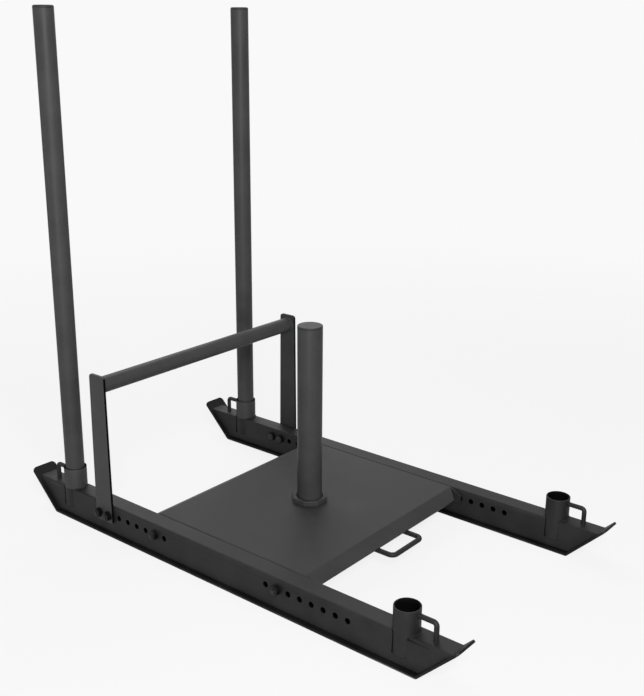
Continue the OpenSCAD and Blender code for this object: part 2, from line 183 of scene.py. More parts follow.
def makeWorld(look):
    world = bpy.data.worlds.new("studioWorld")
    world.use_nodes = True
    tree = world.node_tree
    tree.nodes.clear()
    seen = backgroundRays(tree, (-800, 200))
    ambient = addNode(tree, "ShaderNodeBackground", (-200, 100), Color=look["ambientColour"])
    pale = addNode(tree, "ShaderNodeBackground", (-200, -60), Color=look["backgroundColour"])
    mix = addNode(
        tree, "ShaderNodeMixShader", (20, 60), {0: seen, 1: ambient.outputs[0], 2: pale.outputs[0]}
    )
    addNode(tree, "ShaderNodeOutputWorld", (220, 60), {"Surface": mix.outputs[0]})
    scene.world = world


def makeFloor(look):
    # The seen floor is mostly plain background. Its matte part keeps the soft shadow and fades away
    # with the distance, so that no horizon shows
    material = bpy.data.materials.new("studioFloor")
    material.use_nodes = True
    tree = material.node_tree
    tree.nodes.clear()
    paper = addNode(
        tree, "ShaderNodeMix", (-400, 60), {"Factor": backgroundRays(tree, (-1000, 700))},
        data_type="RGBA", A=look["bounceColour"], B=look["floorColour"],
    )
    matte = addNode(tree, "ShaderNodeBsdfDiffuse", (-200, 60), {"Color": paper.outputs["Result"]})
    pale = addNode(tree, "ShaderNodeEmission", (-200, -80), Color=look["backgroundColour"])
    coords = addNode(tree, "ShaderNodeTexCoord", (-980, 480))
    distance = addNode(
        tree, "ShaderNodeVectorMath", (-800, 480), {0: coords.outputs["Object"]}, operation="LENGTH"
    )
    fade = addNode(
        tree, "ShaderNodeMapRange", (-620, 480), {"Value": distance.outputs["Value"]},
        interpolation_type="SMOOTHSTEP",
        From_Min=look["nearReach"], From_Max=look["farReach"], To_Min=look["nearShare"],
    )
    seen = backgroundRays(tree, (-800, 240), look["glossyShare"])
    share = maths(tree, (-200, 240), "MULTIPLY", seen, fade.outputs[0])
    mix = addNode(
        tree, "ShaderNodeMixShader", (20, 60), {0: share, 1: matte.outputs[0], 2: pale.outputs[0]}
    )
    addNode(tree, "ShaderNodeOutputMaterial", (220, 60), {"Surface": mix.outputs[0]})
    half = look["floorHalf"]
    corners = [(-half, -half, 0), (half, -half, 0), (half, half, 0), (-half, half, 0)]
    data = bpy.data.meshes.new("studioFloor")
    data.from_pydata(corners, [], [(0, 1, 2, 3)])
    data.materials.append(material)
    floor = bpy.data.objects.new("studioFloor", data)
    scene.collection.objects.link(floor)


def makeLamp(name, lamp):
    data = bpy.data.lights.new(name, "AREA")
    data.shape = "RECTANGLE"
    data.size, data.size_y = lamp["size"]
    data.energy = lamp["power"]
    light = bpy.data.objects.new(name, data)
    light.location = lamp["place"]
    toAim = Vector(lamp["aim"]) - Vector(lamp["place"])
    light.rotation_euler = toAim.to_track_quat("-Z", "Y").to_euler()
    scene.collection.objects.link(light)


makeWorld(studio)
makeFloor(studio)
for lampName, lampSettings in lamps.items():
    makeLamp(lampName, lampSettings)
scene.view_settings.view_transform = "Standard"
print("studio lit by", len(lamps), "lamps")

# Finishes

frameCoatLook = {
    "deep": (0.0060, 0.0060, 0.0063, 1),
    "pale": (0.0130, 0.0130, 0.0135, 1),
    "roughness": (0.50, 0.60),
    "specular": 0.2,
    "cloudScale": 14,
    "grainScale": 1500,
    "grainDepth": 0.00006,
    "grainStrength": 0.35,
    "peelScale": 420,
    "peelStrength": 0.12,
    "speckAmount": 0.35,
}
deckCoatLook = dict(
    frameCoatLook,
    deep=(0.0185, 0.0185, 0.0190, 1),
    pale=(0.0285, 0.0285, 0.0292, 1),
    roughness=(0.58, 0.68),
    specular=0.23,
)
# A lighter copy of the frame paint that is painted light, on the near bar plate and on the rear sockets
# above the rails
paintedLitCoatLook = dict(
    frameCoatLook,
    deep=(0.0320, 0.0320, 0.0328, 1),
    pale=(0.0430, 0.0430, 0.0440, 1),
)
barCoatLook = dict(
    frameCoatLook,
    deep=(0.0370, 0.0370, 0.0379, 1),
    pale=(0.0470, 0.0470, 0.0481, 1),
    roughness=(0.42, 0.52),
    specular=0.13,
)
postCoatLook = dict(
    barCoatLook,
    deep=(0.0340, 0.0340, 0.0348, 1),
    pale=(0.0430, 0.0430, 0.0440, 1),
    roughness=(0.40, 0.48),
    specular=0.1,
)
skidCoatLook = dict(
    frameCoatLook,
    deep=(0.0030, 0.0030, 0.0032, 1),
    pale=(0.0065, 0.0065, 0.0068, 1),
    roughness=(0.48, 0.60),
    specular=0.14,
    scuff=True,
)
# Near-black finish that is painted shade: it darkens the socket bores, the rear rims, the rails'
# pockets, holes and insides, and the bar plates' front edges
paintedShadeCoatLook = dict(
    frameCoatLook,
    deep=(0.0016, 0.0016, 0.0017, 1),
    pale=(0.0036, 0.0036, 0.0038, 1),
    roughness=(0.70, 0.80),
    specular=0.02,
)
capPlasticLook = {
    "deep": (0.020, 0.0202, 0.0208, 1),
    "pale": (0.030, 0.0302, 0.0308, 1),
    "roughness": (0.50, 0.60),
    "specular": 0.18,
    "cloudScale": 30,
    "grainScale": 900,
    "grainDepth": 0.00004,
    "grainStrength": 0.3,
    "peelScale": 300,
    "peelStrength": 0.05,
    "speckAmount": 0.1,
}
# Lighter copy of the fastener steel for the bolts' outer ends: painted light
fastenerLitFaceLook = dict(
    frameCoatLook,
    deep=(0.0140, 0.0140, 0.0144, 1),
    pale=(0.0220, 0.0220, 0.0226, 1),
    cloudScale=160,
)
# Near-black: the fasteners' own dark steel, and painted shade on the sides of heads and nuts and on the
# washers
fastenerBlackAndShadeLook = {
    "deep": (0.0015, 0.0015, 0.0016, 1),
    "pale": (0.0045, 0.0045, 0.0047, 1),
    "roughness": (0.38, 0.48),
    "specular": 0.12,
    "cloudScale": 160,
    "grainScale": 2200,
    "grainDepth": 0.00003,
    "grainStrength": 0.25,
    "peelScale": 500,
    "peelStrength": 0.08,
    "speckAmount": 0.2,
}

# What every coat shares. A band is the part of a noise that is spread to the full change
coatPattern = {
    "cloudBand": (0.35, 0.65),
    "speckBand": (0.62, 0.72),
    "roughBand": (0.3, 0.7),
    "cloudDetail": 5,
    "cloudRoughness": 0.6,
    "grainDetail": 2,
    "peelDetail": 1,
    "peelDepth": 0.0004,
}
scuffPattern = {
    "stretch": (6, 320, 60),
    "streakDetail": 4,
    "streakBand": (0.5, 0.62),
    "wornHeight": (0.0004, 0.003),
    "bareSteel": (0.16, 0.158, 0.152, 1),
}


def spread(tree, place, source, band, result):
    # Stretches a band of values to the result's two ends
    node = addNode(
        tree, "ShaderNodeMapRange", place, {"Value": source},
        From_Min=band[0], From_Max=band[1], To_Min=result[0], To_Max=result[1],
    )
    return node.outputs["Result"]


def addScuffs(tree, coords, colour, pattern):
    # Light rubs that run fore and aft on the faces that slide on the ground
    stretch = addNode(
        tree, "ShaderNodeMapping", (-1250, -500), {"Vector": coords}, Scale=pattern["stretch"]
    )
    streaks = addNode(
        tree, "ShaderNodeTexNoise", (-1050, -500), {"Vector": stretch.outputs[0]},
        Scale=1.0, Detail=pattern["streakDetail"],
    )
    height = addNode(tree, "ShaderNodeSeparateXYZ", (-1050, -760), {0: coords})
    low = spread(tree, (-860, -760), height.outputs["Z"], pattern["wornHeight"], (1, 0))
    marks = spread(tree, (-860, -500), streaks.outputs["Fac"], pattern["streakBand"], (0, 1))
    worn = maths(tree, (-680, -600), "MULTIPLY", low, marks, clamp=True)
    bare = addNode(
        tree, "ShaderNodeMix", (-300, 400), {"Factor": worn, "A": colour},
        data_type="RGBA", B=pattern["bareSteel"],
    )
    return bare.outputs["Result"]


def makeFinish(name, look, pattern=coatPattern):
    # Powder coat or moulded black: cloudy tone, fine grain and a soft orange peel
    material = bpy.data.materials.new(name)
    material.use_nodes = True
    tree = material.node_tree
    coords = addNode(tree, "ShaderNodeTexCoord", (-1300, 0)).outputs["Object"]

    def noise(place, scale, detail, roughness=0.5):
        node = addNode(
            tree, "ShaderNodeTexNoise", place, {"Vector": coords},
            Scale=scale, Detail=detail, Roughness=roughness,
        )
        return node.outputs["Fac"]

    clouds = noise((-1050, 400), look["cloudScale"], pattern["cloudDetail"], pattern["cloudRoughness"])
    grain = noise((-1050, 100), look["grainScale"], pattern["grainDetail"])
    peel = noise((-1050, -200), look["peelScale"], pattern["peelDetail"])
    cloudy = spread(tree, (-860, 460), clouds, pattern["cloudBand"], (0, 1))
    specks = spread(tree, (-860, 260), grain, pattern["speckBand"], (0, look["speckAmount"]))
    blend = maths(tree, (-680, 400), "ADD", cloudy, specks, clamp=True)
    tone = addNode(
        tree, "ShaderNodeMix", (-500, 400), {"Factor": blend},
        data_type="RGBA", A=look["deep"], B=look["pale"],
    )
    colour = tone.outputs["Result"]
    if look.get("scuff"):
        colour = addScuffs(tree, coords, colour, scuffPattern)
    softBump = addNode(
        tree, "ShaderNodeBump", (-500, -200), {"Height": peel},
        Strength=look["peelStrength"], Distance=pattern["peelDepth"],
    )
    fineBump = addNode(
        tree, "ShaderNodeBump", (-280, -100), {"Height": grain, "Normal": softBump.outputs[0]},
        Strength=look["grainStrength"], Distance=look["grainDepth"],
    )
    shader = tree.nodes["Principled BSDF"].inputs
    shader["Specular IOR Level"].default_value = look["specular"]
    rough = spread(tree, (-500, 120), clouds, pattern["roughBand"], look["roughness"])
    tree.links.new(colour, shader["Base Color"])
    tree.links.new(rough, shader["Roughness"])
    tree.links.new(fineBump.outputs[0], shader["Normal"])
    return material


frameCoat = makeFinish("frameCoat", frameCoatLook)
deckCoat = makeFinish("deckCoat", deckCoatLook)
paintedLitCoat = makeFinish("paintedLitCoat", paintedLitCoatLook)
barCoat = makeFinish("barCoat", barCoatLook)
postCoat = makeFinish("postCoat", postCoatLook)
skidCoat = makeFinish("skidCoat", skidCoatLook)
paintedShadeCoat = makeFinish("paintedShadeCoat", paintedShadeCoatLook)
capPlastic = makeFinish("capPlastic", capPlasticLook)
fastenerBlackAndShade = makeFinish("fastenerBlackAndShade", fastenerBlackAndShadeLook)
fastenerLitFace = makeFinish("fastenerLitFace", fastenerLitFaceLook)
print("finishes made")

# Shaping tools

shaping = {
    "sharpFrom": 32,  # degrees between two faces from which their edge is drawn sharp
    "easeFrom": 40,  # degrees from which an edge gets its small bevel
    "mergeWithin": 0.002,
    "flatWithin": 0.6,  # degrees within which the CAD's triangles are one face
    "poleRadius": 0.000001,  # a profile's point nearer to the axis than this is a pole
}


def cornerArc(before, corner, after, radius, steps):
    # Points of the arc that rounds the corner between its two neighbours
    back = (before - corner).normalized()
    on = (after - corner).normalized()
    half = math.acos(max(-1, min(1, back.dot(on)))) / 2
    centre = corner + (back + on).normalized() * radius / math.sin(half)
    start = corner + back * radius / math.tan(half) - centre
    end = corner + on * radius / math.tan(half) - centre
    turn = math.pi - 2 * half
    arc = []
    for k in range(steps + 1):
        share = k / steps
        swing = start * math.sin((1 - share) * turn) + end * math.sin(share * turn)
        arc.append(centre + swing / math.sin(turn))
    return arc


def easedOutline(points, radii, steps=5):
    # Closed outline whose corners are turned to arcs, one radius for each point and 0 for a sharp one
    outline = []
    for i, radius in enumerate(radii):
        before, corner, after = (Vector(points[j % len(points)]) for j in (i - 1, i, i + 1))
        outline += cornerArc(before, corner, after, radius, steps) if radius else [corner]
    return outline


def bentPath(points, radii, steps=10):
    # Polyline whose inner corners are turned to arcs in their own plane
    path = [Vector(points[0])]
    for before, corner, after, radius in zip(points, points[1:], points[2:], radii):
        path += cornerArc(Vector(before), Vector(corner), Vector(after), radius, steps)
    path.append(Vector(points[-1]))
    return path


def stitch(mesh, lower, upper):
    # Faces between two rings of points, where a ring of one point is a pole
    count = max(len(lower), len(upper))
    if count == 1:
        return
    for k in range(count):
        n = (k + 1) % count
        corners = [
            lower[k % len(lower)], lower[n % len(lower)],
            upper[n % len(upper)], upper[k % len(upper)],
        ]
        mesh.faces.new(list(dict.fromkeys(corners)))


def revolve(profile, segments=96):
    # Turns a closed outline of (radius, height) points round Z
    mesh = bmesh.new()
    angles = [2 * math.pi * k / segments for k in range(segments)]
    rings = []
    for radius, height in profile:
        if radius < shaping["poleRadius"]:
            rings.append([mesh.verts.new((0, 0, height))])
        else:
            rings.append([
                mesh.verts.new((radius * math.cos(a), radius * math.sin(a), height)) for a in angles
            ])
    for lower, upper in zip(rings, rings[1:] + rings[:1]):
        stitch(mesh, lower, upper)
    return mesh


def sweepRod(path, radius, segments=28):
    # Round rod along a smooth path, closed at both ends
    mesh = bmesh.new()
    angles = [2 * math.pi * k / segments for k in range(segments)]
    side = None
    rings = []
    for i, point in enumerate(path):
        ahead = (path[min(i + 1, len(path) - 1)] - path[max(i - 1, 0)]).normalized()
        if side is None:
            side = ahead.orthogonal().normalized()
        side = (side - ahead * side.dot(ahead)).normalized()
        across = ahead.cross(side)
        rings.append([
            mesh.verts.new(point + radius * (math.cos(a) * side + math.sin(a) * across)) for a in angles
        ])
    for lower, upper in zip(rings, rings[1:]):
        stitch(mesh, lower, upper)
    mesh.faces.new(rings[0])
    mesh.faces.new(rings[-1])
    return mesh


def cadCopy(node):
    # Merged copy of a part's mesh, its flat faces joined up, in millimetres
    mesh = bmesh.new()
    mesh.from_mesh(cadNodes[node].data)
    bmesh.ops.scale(mesh, vec=(1 / mmToMetres,) * 3, verts=mesh.verts)
    bmesh.ops.remove_doubles(mesh, verts=mesh.verts, dist=shaping["mergeWithin"])
    bmesh.ops.dissolve_limit(
        mesh, angle_limit=math.radians(shaping["flatWithin"]), use_dissolve_boundaries=False,
        verts=mesh.verts, edges=mesh.edges, delimit=set(),
    )
    return mesh


def join(meshes):
    # Several meshes as one
    whole = bmesh.new()
    for mesh in meshes:
        part = bpy.data.meshes.new("part")
        mesh.to_mesh(part)
        mesh.free()
        whole.from_mesh(part)
        bpy.data.meshes.remove(part)
    return whole


def moved(mesh, matrix):
    bmesh.ops.transform(mesh, matrix=matrix, verts=mesh.verts)
    return mesh


def markEases(mesh, keepSharp):
    # Marks the edges that get a small bevel, all but those with both ends where it stays sharp
    layer = mesh.edges.layers.float.new("bevel_weight_edge")
    for edge in mesh.edges:
        if len(edge.link_faces) == 2 and edge.calc_face_angle() > math.radians(shaping["easeFrom"]):
            if not all(keepSharp(vert.co) for vert in edge.verts):
                edge[layer] = 1


def meshObject(name, mesh):
    # Turns a finished mesh to metres and puts it in the scene
    bmesh.ops.scale(mesh, vec=(mmToMetres,) * 3, verts=mesh.verts)
    data = bpy.data.meshes.new(name)
    mesh.to_mesh(data)
    mesh.free()
    data.shade_smooth()
    data.set_sharp_from_angle(angle=math.radians(shaping["sharpFrom"]))
    piece = bpy.data.objects.new(name, data)
    scene.collection.objects.link(piece)
    return piece


def handOver(piece, body, nodes):
    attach(piece, body)
    if nodes:
        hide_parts(*nodes)


def finishPiece(name, mesh, finish, body, node, bevel=0, others=()):
    # Makes the object, in place, and hands it to the frame. Each of others is a second finish and a
    # test that picks its faces by their middle and normal
    bmesh.ops.recalc_face_normals(mesh, faces=mesh.faces)
    for index, (_, picks) in enumerate(others, 1):
        for face in mesh.faces:
            if picks(face.calc_center_median(), face.normal):
                face.material_index = index
    piece = meshObject(name, mesh)
    for material in [finish] + [other for other, _ in others]:
        piece.data.materials.append(material)
    if bevel:
        edges = piece.modifiers.new("softEdges", "BEVEL")
        edges.width = bevel * mmToMetres
        edges.segments = 2
        if piece.data.attributes.get("bevel_weight_edge"):
            edges.limit_method = "WEIGHT"
        else:
            edges.limit_method = "ANGLE"
            edges.angle_limit = math.radians(shaping["easeFrom"])
        edges.harden_normals = True
    handOver(piece, body, [node])


# Rails and skids

railSpan = cadSpan("left_rail")
socketSpan = cadSpan("front_left_socket")
railSize = {
    "centreY": middle(railSpan["y"]),
    "width": extent(railSpan["y"]),
    "wall": 3,
    "underside": railSpan["z"][0],
    "top": railSpan["z"][1],
    "halfUnderside": railSpan["x"][1] - extent(railSpan["z"]),  # the ends are cut at 45 degrees
    "socketX": middle(socketSpan["x"]),
    "pocket": extent(socketSpan["x"]) / 2 + 1.1,  # radius, with the gap round the socket
    "pocketSlack": 1,  # how much wider a pocket is behind its socket
    "edgeBevel": 0.5,
    "skidBevel": 0.6,
    "plainCorner": 4,  # round of both upper edges in the CAD
    "softCorner": 7,  # round that the outer one gets
    "crispCorner": 1.5,  # round that the one beside the deck gets
    "easeReach": 10,  # how far beside an edge the faces are stretched to meet its new round
    "firstHole": 131.5,
    "holePitch": 26.3,
    "holeCount": 8,
    "holeHeight": middle(cadSpan("bar_bolts")["z"]),
    "holeRadius": 5.75,
}
# How near a point has to be to a feature of the rail to belong to it
railFind = {
    "edge": 0.01,
    "flat": 0.02,
    "cutEnd": 0.05,
    "pocket": 0.12,
    "corner": 0.15,
    "holeRim": 0.15,
    "pocketRim": 0.2,
    "skin": 0.5,
    "levelNormal": 0.999,  # faces that look up or down more than this are level
}
ends = {"front": 1, "rear": -1}
sides = {"left": 1, "right": -1}


def holeX(number):
    # Distance of a cross hole from the middle, the nearest one being number 1
    return railSize["firstHole"] + (number - 1) * railSize["holePitch"]


def socketSpot(end, side):
    return Vector((end * railSize["socketX"], side * railSize["centreY"], 0))


def widenPockets(mesh, centreY, size, find):
    # The pockets are a little wider behind the sockets than before them
    for vert in mesh.verts:
        fromSocket = vert.co.x - math.copysign(size["socketX"], vert.co.x)
        out = abs(vert.co.y - centreY)
        onPocket = abs(math.hypot(fromSocket, out) - size["pocket"]) < find["pocket"]
        inWall = out > size["width"] / 2 - size["wall"] - find["skin"]
        if onPocket and inWall and fromSocket < 0 and vert.co.z < size["top"] - size["plainCorner"]:
            vert.co.x -= size["pocketSlack"]


def softenRail(mesh, centreY, size, find):
    # Turns the outer upper corner of a rail to a wider round and the one beside the deck to a crisp
    # one, and keeps the cut ends and pockets true
    plain, reach = size["plainCorner"], size["easeReach"]
    halfWidth, top = size["width"] / 2, size["top"]
    for vert in mesh.verts:
        x, y, z = vert.co
        out = abs(y - centreY)
        side = 1 if y > centreY else -1
        soft = size["softCorner"] if side * centreY > 0 else size["crispCorner"]
        squeeze = (reach - soft) / (reach - plain)
        inWidth, inHeight = out - (halfWidth - plain), z - (top - plain)
        offRound = abs(math.hypot(inWidth, inHeight) - plain)
        newOut, newZ = out, z
        if min(inWidth, inHeight) > -find["edge"] and offRound < find["corner"]:
            angle = math.atan2(inHeight, inWidth)
            newOut = halfWidth - soft + soft * math.cos(angle)
            newZ = top - soft + soft * math.sin(angle)
        elif z > top - find["flat"] and out > halfWidth - reach:
            newOut = halfWidth - reach + (out - halfWidth + reach) * squeeze
        elif out > halfWidth - find["flat"] and z > top - reach:
            newZ = top - reach + (z - top + reach) * squeeze
        else:
            continue
        end = 1 if x > 0 else -1
        fromSocket = x - end * size["socketX"]
        if abs(math.hypot(fromSocket, out) - size["pocket"]) < find["pocket"]:
            run = math.sqrt(size["pocket"] ** 2 - newOut ** 2)
            x = end * size["socketX"] + math.copysign(run, fromSocket)
        elif abs(abs(x) - (size["halfUnderside"] + z - size["underside"])) < find["cutEnd"]:
            x += end * (newZ - z)
        vert.co = (x, centreY + side * newOut, newZ)


def dressRail(sideName, side, size, find):
    centreY = side * size["centreY"]
    halfWidth = size["width"] / 2
    skin, lining = find["skin"], size["wall"] - find["skin"]

    def nearPocket(point):
        fromSocket = math.hypot(abs(point.x) - size["socketX"], point.y - centreY)
        aboveWall = point.z > size["underside"] + size["plainCorner"]
        return aboveWall and fromSocket < size["pocket"] + find["pocketRim"]

    def nearHole(point):
        place = (abs(point.x) - size["firstHole"]) / size["holePitch"]
        nearest = max(0, min(size["holeCount"] - 1, round(place)))
        along = (place - nearest) * size["holePitch"]
        return math.hypot(along, point.z - size["holeHeight"]) < size["holeRadius"] + find["holeRim"]

    def inOpening(point):
        return nearPocket(point) or nearHole(point)

    def getsPaintedShade(point, normal):
        # Faces that get painted shade: the walls of the pockets and holes, and the inside of the tube
        out = abs(point.y - centreY)
        inCut = out < halfWidth - skin and point.z < size["top"] - skin and inOpening(point)
        inHeight = size["underside"] + lining < point.z < size["top"] - lining
        inTube = out < halfWidth - lining and inHeight
        return inTube or (inCut and abs(normal.z) < find["levelNormal"])

    mesh = cadCopy(sideName + "_rail")
    widenPockets(mesh, centreY, size, find)
    softenRail(mesh, centreY, size, find)
    markEases(mesh, inOpening)
    # The openings and the inside of the tube take the near-black finish as painted shade
    finishPiece(
        sideName + "RailTube", mesh, frameCoat, "sled", sideName + "_rail",
        size["edgeBevel"], [(paintedShadeCoat, getsPaintedShade)],
    )
    finishPiece(
        sideName + "SkidRunner", cadCopy(sideName + "_skid_plate"), skidCoat, "sled",
        sideName + "_skid_plate", size["skidBevel"],
    )


for sideName, side in sides.items():
    dressRail(sideName, side, railSize, railFind)
print("rails and skids dressed")

# Sockets and anchor loops

poleSpan = cadSpan("left_push_pole")
anchorSpan = cadSpan("front_left_anchor_loop")
socketSize = {
    "outer": extent(socketSpan["x"]) / 2,
    "bore": extent(poleSpan["x"]) / 2 + 0.08,  # radius, with the gap round the pole
    "foot": socketSpan["z"][0],
    "floor": poleSpan["z"][0],
    "mouth": socketSpan["z"][1],
    "rimEase": 0.9,
    "leadIn": 21.5,
    "leadDepth": 3.2,
    "leadEase": 0.3,
    "boreEase": 1,
    "floorEase": 1.5,
    # Bands beside the bore's painted shade: inside the lead-in, inside a rear rim, under the mouth,
    # over the foot
    "leadBand": 0.15,
    "rimBand": 0.2,
    "mouthBand": 0.5,
    "footBand": 2,
}
anchorRod = 4.5
anchorSize = {
    "rod": anchorRod,
    "reach": anchorSpan["x"][1] - anchorRod - railSize["socketX"],
    "height": anchorSpan["z"][1] - anchorRod,
    "bend": 6.5,
    "rootSink": 0.2,  # how far the rod starts inside the socket's wall
    "footSink": 0.05,
}


def socketProfile(size):
    points = [
        (0, size["foot"]),
        (size["outer"], size["foot"]),
        (size["outer"], railSize["top"]),
        (size["outer"], size["mouth"]),
        (size["leadIn"], size["mouth"]),
        (size["bore"], size["mouth"] - size["leadDepth"]),
        (size["bore"], size["floor"]),
        (0, size["floor"]),
    ]
    rim, lead, bore, floor = (size[key] for key in ("rimEase", "leadEase", "boreEase", "floorEase"))
    return easedOutline(points, [0, rim, 0, rim, lead, bore, floor, 0])


def getsBoreShade(point, spot, size):
    # Whether a point gets the painted shade: the inner wall, the lead-in or the floor of a socket, or a
    # rear rim, where the near-black finish stands for the shade in the bore and round the pole
    reach = math.hypot(point.x - spot.x, point.y - spot.y)
    onRearRim = spot.x < 0 and point.z > size["mouth"] - size["mouthBand"]
    limit = size["outer"] - size["rimBand"] if onRearRim else size["leadIn"] - size["leadBand"]
    return point.z > size["foot"] + size["footBand"] and reach < limit


for endName, end in ends.items():
    for sideName, side in sides.items():
        spot = socketSpot(end, side)
        cadName = endName + "_" + sideName
        pieceName = endName + sideName.capitalize()
        finishPiece(
            pieceName + "Socket", moved(revolve(socketProfile(socketSize)), Matrix.Translation(spot)),
            frameCoat, "sled", cadName + "_socket",
            others=[
                # The rear sockets above the rail get the lighter coat, painted light
                (paintedLitCoat, lambda point, normal, end=end: end < 0 and point.z > railSize["top"]),
                # Painted shade: the bore, the lead-in and the rear rims take the near-black finish
                (paintedShadeCoat, lambda point, normal, spot=spot: getsBoreShade(point, spot, socketSize)),
            ],
        )
        start = end * (socketSize["outer"] - anchorSize["rootSink"])
        out = end * anchorSize["reach"]
        level, foot = anchorSize["height"], railSize["top"] - anchorSize["footSink"]
        rod = bentPath([(start, 0, level), (out, 0, level), (out, 0, foot)], [anchorSize["bend"]])
        finishPiece(
            pieceName + "AnchorLoop", moved(sweepRod(rod, anchorSize["rod"]), Matrix.Translation(spot)),
            frameCoat, "sled", cadName + "_anchor_loop",
        )
print("sockets and anchor loops made")

# Push poles

poleSize = {
    "outer": extent(poleSpan["x"]) / 2,
    "wall": 2.5,
    "foot": poleSpan["z"][0],
    "top": cadSpan("left_pole_cap")["z"][1],
    "ease": 0.7,
    "capHead": 5,
    "capEase": 3.6,
    "plugLength": 14,
}
# What the tubes share, and the caps
tubeEnds = {
    "innerShare": 0.6,  # how far a tube's inner edges are eased, against its outer ones
    "plugGap": 0.15,
    "plugEase": 1,
    "headFootEase": 0.5,
}


def tubeProfile(size, bottom, top):
    inner, outer, ease = size["outer"] - size["wall"], size["outer"], size["ease"]
    points = [(inner, bottom), (outer, bottom), (outer, top), (inner, top)]
    innerEase = ease * tubeEnds["innerShare"]
    return easedOutline(points, [innerEase, ease, ease, innerEase], steps=4)


def capProfile(size):
    # Head with an eased rim on top of a tube, and the plug that holds it
    seat = size["top"] - size["capHead"]
    plug = size["outer"] - size["wall"] - tubeEnds["plugGap"]
    points = [
        (0, seat - size["plugLength"]),
        (plug, seat - size["plugLength"]),
        (plug, seat),
        (size["outer"], seat),
        (size["outer"], size["top"]),
        (0, size["top"]),
    ]
    radii = [0, tubeEnds["plugEase"], 0, tubeEnds["headFootEase"], size["capEase"], 0]
    return easedOutline(points, radii, steps=6)


for sideName, side in sides.items():
    spot = Matrix.Translation(socketSpot(ends["rear"], side))
    tube = tubeProfile(poleSize, poleSize["foot"], poleSize["top"] - poleSize["capHead"])
    body = sideName + "_pole"
    finishPiece(
        sideName + "PoleTube", moved(revolve(tube), spot), barCoat, body,
        sideName + "_push_pole",
    )
    finishPiece(
        sideName + "PoleTopCap", moved(revolve(capProfile(poleSize)), spot), capPlastic, body,
        sideName + "_pole_cap",
    )
print("push poles made")

# Low bar and its plates

barSpan = cadSpan("low_bar_tube")
barSize = {
    "x": middle(barSpan["x"]),
    "z": middle(barSpan["z"]),
    "outer": extent(barSpan["x"]) / 2,
    "wall": 2.5,
    "ease": 0.3,
    "halfLength": barSpan["y"][1],
    "plateBevel": 0.6,
    # The plates' cut edges that look along the rails get the near-black finish as painted shade
    "edgeNormal": 0.9,  # faces that look along the rails more than this are the plates' cut edges
}

barTurn = Matrix.Rotation(math.radians(90), 4, "X")
barAxis = Matrix.Translation((barSize["x"], 0, barSize["z"])) @ barTurn
barTube = tubeProfile(barSize, -barSize["halfLength"], barSize["halfLength"])
finishPiece(
    "lowCrossBar", moved(revolve(barTube), barAxis), barCoat, "sled", "low_bar_tube"
)
for sideName in sides:
    # The two plates are one paint: the near right one gets the lighter coat as painted light, the far
    # left one the darker deck coat as painted shade
    finishPiece(
        sideName + "BarUpright", cadCopy(sideName + "_bar_plate"),
        paintedLitCoat if sideName == "right" else deckCoat, "sled",
        sideName + "_bar_plate", barSize["plateBevel"],
        # Painted shade on the plates' front edges
        [(paintedShadeCoat, lambda point, normal: abs(normal.x) > barSize["edgeNormal"])],
    )
print("low bar made")

# Deck, post and collar

deckTop = railSize["top"]
deckSize = {
    "halfWidth": cadSpan("deck_plate")["y"][1],
    "halfTop": 187,
    "sheet": 4,
    "slope": 28,
    "plainFold": 5,
    "crispFold": 2,
    "plainTip": 212.2,  # how far out the corners of the end flanges are, before and after
    "wideTip": 227.5,
    "tipFrom": 205,  # the tips are further along the rails than this
    "sideFlange": 234,  # the side flanges are further out than this and lower than the next
    "foldLow": 57,
    "bevel": 0.5,
    # How near a point has to be to a corner, a flat face or a fold
    "tipFind": 0.1,
    "flatFind": 0.01,
    "foldFind": 0.05,
}
postSpan = cadSpan("weight_post")
postSize = {
    "outer": extent(postSpan["x"]) / 2,
    "wall": 3,
    "top": cadSpan("post_cap")["z"][1],
    "ease": 0.7,
    "capHead": 4.5,
    "capEase": 1.4,
    "plugLength": 16,
}
collarSize = {
    "sides": 8,
    "acrossFlats": 69.5,
    "height": extent(cadSpan("post_collar")["z"]),
    "inner": 26.3,
    "bevel": 2.2,
    "boreSteps": 64,
}


def deckEndX(height, size):
    # How far out the upper face of the sheet has come at a height on its end fold or sloped flange
    slope = math.radians(size["slope"])
    fold = size["plainFold"]
    foldLow = deckTop - fold * (1 - math.cos(slope))
    if height < foldLow:
        return size["halfTop"] + (deckTop - height) / math.tan(slope)
    rise = height - (deckTop - fold)
    return size["halfTop"] - fold * math.tan(slope / 2) + math.sqrt(max(0, fold ** 2 - rise ** 2))


def deckSheet(size):
    # The sheet with a crisper fold beside the left rail, and with the corners of its end flanges on
    # the right side brought out towards the rail
    mesh = cadCopy("deck_plate")
    plain, crisp = size["plainFold"], size["crispFold"]
    for vert in mesh.verts:
        x, y, z = vert.co
        if abs(y + size["plainTip"]) < size["tipFind"] and abs(x) > size["tipFrom"]:
            vert.co.y = -size["wideTip"]
        inWidth, inHeight = y - (size["halfWidth"] - plain), z - (deckTop - plain)
        offFold = abs(math.hypot(inWidth, inHeight) - plain)
        if min(inWidth, inHeight) > -size["flatFind"] and offFold < size["foldFind"]:
            angle = math.atan2(inHeight, inWidth)
            newOut = size["halfWidth"] - crisp + crisp * math.cos(angle)
            newZ = deckTop - crisp + crisp * math.sin(angle)
            vert.co = (math.copysign(deckEndX(newZ, size), x), newOut, newZ)
    return mesh


# The deck's side flanges beside the rails take the darker frame coat as painted shade
def sideFlangeShade(point, normal):
    return abs(point.y) > deckSize["sideFlange"] and point.z < deckSize["foldLow"]


